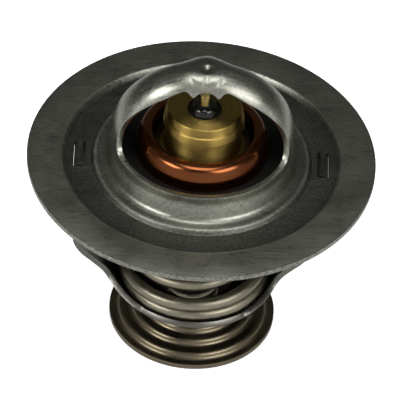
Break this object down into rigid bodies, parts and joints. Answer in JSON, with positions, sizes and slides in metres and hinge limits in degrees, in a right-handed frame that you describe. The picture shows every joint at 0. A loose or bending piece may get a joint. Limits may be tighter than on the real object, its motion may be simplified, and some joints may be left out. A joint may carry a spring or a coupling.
{
  "type": "thermostat",
  "caption": "Engine thermostat with a pressed steel flange and bridge, a wax element in a copper valve dish, a coil spring in a lower frame and a stepped bypass valve.",
  "frame": {"origin": "on the valve's axis in the plane of the flange's upper face", "axes": "Z is the axis of the valve, up through the bridge; X runs along the bridge through the two tabs; Y points through the windows"},
  "size_m": [0.064, 0.064, 0.0626],
  "materials": {
    "pressed_steel": "rolled steel sheet, fine grain along the bridge, dull with light scratches",
    "frame_steel": "rolled steel sheet, dull",
    "pin_steel": "ground steel rod",
    "spring_steel": "stainless spring wire, warm grey, semi bright",
    "guide_brass": "turned brass, semi bright",
    "black_cap": "glossy black",
    "seal_rubber": "black rubber",
    "ring_plastic": "natural fluoropolymer",
    "sleeve_rubber": "black rubber",
    "copper_wax": "wax filled with copper powder",
    "cup_brass": "drawn brass, dull",
    "dish_copper": "drawn copper alloy, semi bright",
    "valve_rubber": "black moulded rubber",
    "stem_steel": "turned steel",
    "washer_steel": "punched steel",
    "bypass_spring_steel": "stainless spring wire",
    "bypass_steel": "pressed stainless steel, semi bright, warm grey",
    "clip_steel": "punched spring steel"
  },
  "bodies": {
    "frame_body": {"flange": "pressed_steel", "lower_frame": "frame_steel", "piston_pin": "pin_steel", "main_spring": "spring_steel"},
    "element_body": {"pin_guide": "guide_brass", "seal_cap": "black_cap", "wiper_seal": "seal_rubber", "backup_ring": "ring_plastic", "rubber_sleeve": "sleeve_rubber", "wax_charge": "copper_wax", "wax_cup": "cup_brass", "valve_dish": "dish_copper", "valve_seal": "valve_rubber", "bypass_stem": "stem_steel", "bypass_washer": "washer_steel", "bypass_spring": "bypass_spring_steel", "bypass_clip": "clip_steel"},
    "bypass_body": {"bypass_valve": "bypass_steel"}
  },
  "joints": [
    {"name": "valve_travel", "type": "slide", "parent": "frame_body", "child": "element_body", "axis": [0, 0, -1], "range_m": [0, 0.008], "stiffness_N_per_m": 6000, "springref_m": -0.008, "deforming": ["main_spring"]},
    {"name": "bypass_travel", "type": "slide", "parent": "element_body", "child": "bypass_body", "axis": [0, 0, 1], "range_m": [0, 0.003], "stiffness_N_per_m": 2500, "springref_m": -0.004, "deforming": ["bypass_spring"]}
  ]
}
